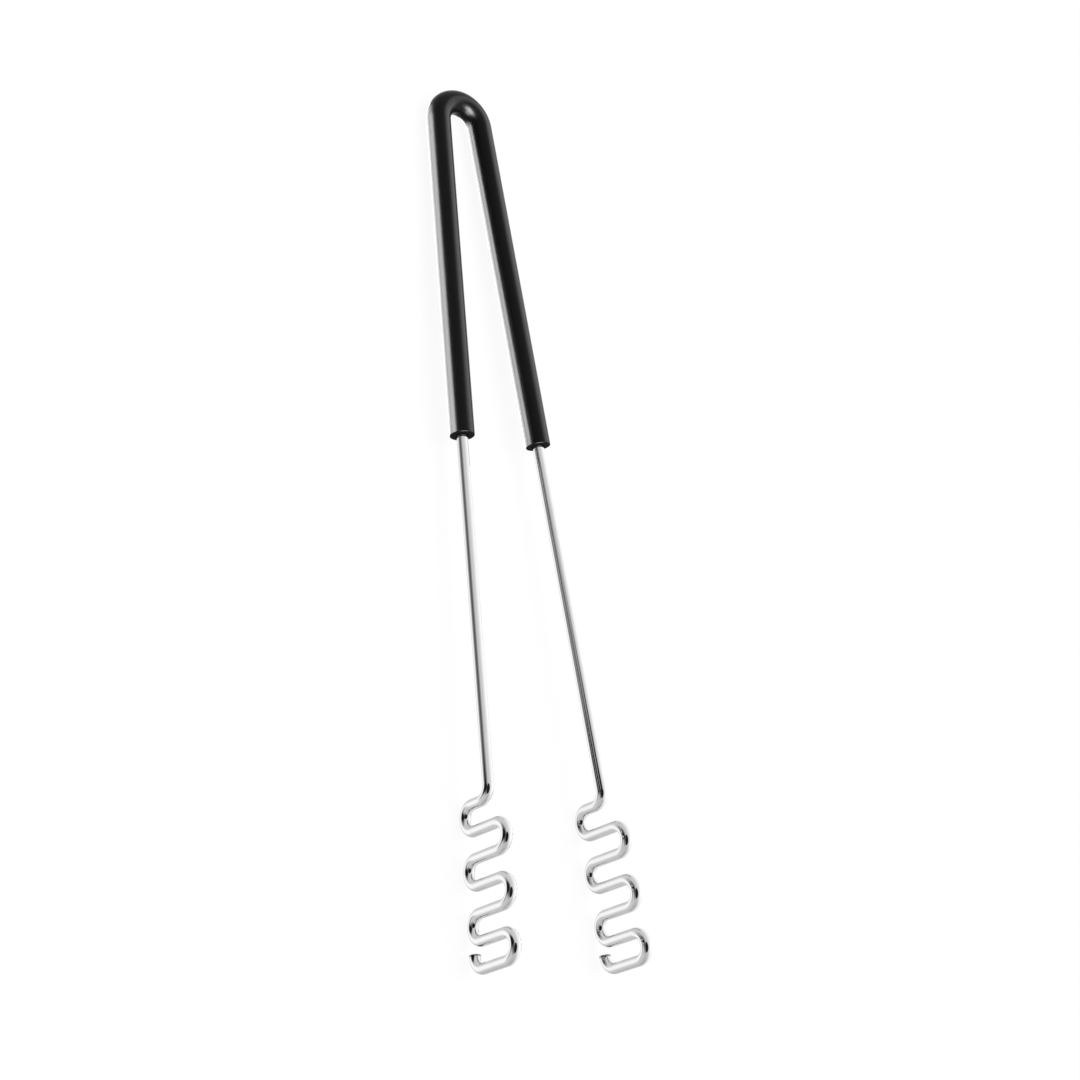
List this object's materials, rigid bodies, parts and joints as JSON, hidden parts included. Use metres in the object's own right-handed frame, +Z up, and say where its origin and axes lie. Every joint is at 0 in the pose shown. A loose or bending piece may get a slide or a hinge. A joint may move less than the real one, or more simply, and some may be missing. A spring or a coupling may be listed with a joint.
{
  "type": "barbecue tongs",
  "caption": "Long barbecue tongs bent from one springy steel wire, with snaking wire jaws and a soft black sleeve over the U-shaped handle.",
  "frame": {"origin": "on the table that the tongs lie on, under the middle of their box", "axes": "+Z up from the table, +Y along the tongs towards the bend of the handle, X from the left arm to the right arm"},
  "size_m": [0.0746, 0.3996, 0.0344],
  "materials": {
    "spring_steel": "polished stainless steel",
    "black_sleeve": "smooth, soft shine"
  },
  "bodies": {
    "bend": {"wire_bend": "spring_steel", "sleeve_bend": "black_sleeve"},
    "left_arm": {"wire_left": "spring_steel", "sleeve_left": "black_sleeve"},
    "right_arm": {"wire_right": "spring_steel", "sleeve_right": "black_sleeve"}
  },
  "joints": [
    {"name": "left_arm_squeeze", "type": "hinge", "parent": "bend", "child": "left_arm", "pos_m": [0, 0.18282, 0.00599], "axis": [0, 0.0428, 0.9991], "range_deg": [0, 4.8], "stiffness_Nm_per_rad": 80},
    {"name": "right_arm_squeeze", "type": "hinge", "parent": "bend", "child": "right_arm", "pos_m": [0, 0.18282, 0.00599], "axis": [0, -0.0428, -0.9991], "range_deg": [0, 4.8], "stiffness_Nm_per_rad": 80}
  ],
  "couplings": [
    {"joint": "right_arm_squeeze", "follows": "left_arm_squeeze", "ratio": 1}
  ]
}
